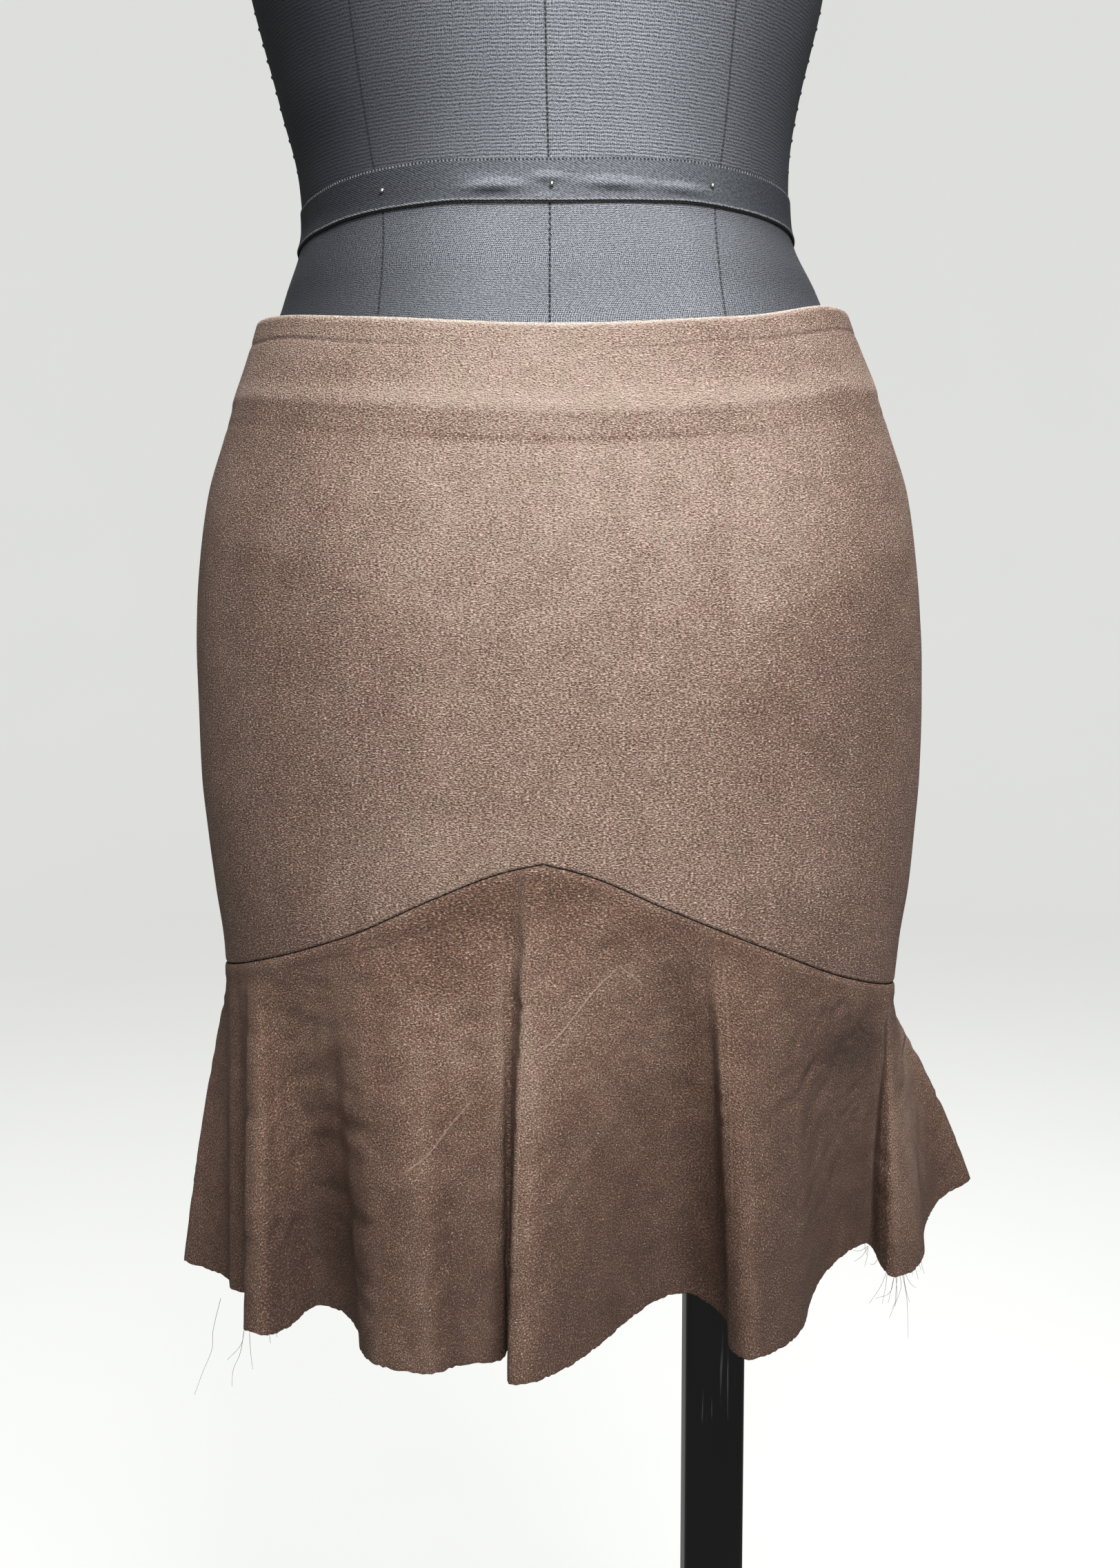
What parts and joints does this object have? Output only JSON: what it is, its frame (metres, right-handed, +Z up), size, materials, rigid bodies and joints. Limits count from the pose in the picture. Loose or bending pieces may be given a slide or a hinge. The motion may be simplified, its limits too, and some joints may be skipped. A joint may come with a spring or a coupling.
{
  "type": "flounced leather mini skirt on a limbless dress form",
  "caption": "Fitted leather mini skirt with a fluted flounce set in a V-shaped seam, worn by a limbless linen dress form on a square pole and flat base.",
  "frame": {"origin": "on the floor, under the middle of the base plate", "axes": "+Z up along the pole, -Y towards the front of the skirt, +X to the right as seen from the front"},
  "size_m": [0.48, 0.42, 1.5163],
  "materials": {
    "body_leather": "brown nubuck with a fine pebbled grain, worn lighter in front",
    "flounce_leather": "brown nubuck, creased, with a raw-cut hem",
    "zip_metal": "aged brass",
    "form_linen": "dark charcoal linen, tightly covered",
    "waist_tape": "grey twill tape",
    "black_board": "black painted board",
    "black_enamel": "black gloss enamel, scuffed"
  },
  "bodies": {
    "root": {"skirt_front": "body_leather", "skirt_back_left": "body_leather", "skirt_back_right": "body_leather", "flounce_front": "flounce_leather", "flounce_back_left": "flounce_leather", "flounce_back_right": "flounce_leather", "zip_slider": "zip_metal", "form_torso": "form_linen", "form_waist_tape": "waist_tape", "form_neck_cap": "black_board", "form_hip_board": "black_board", "stand_flange": "black_enamel", "stand_pole": "black_enamel", "stand_collar": "black_enamel", "stand_base": "black_enamel"},
    "pull_tab": {"zip_pull": "zip_metal"}
  },
  "joints": [
    {"name": "pull_tab_swing", "type": "hinge", "parent": "root", "child": "pull_tab", "pos_m": [-0.0029, 0.10572, 0.99021], "axis": [1, 0, 0], "range_deg": [0, 150]}
  ]
}
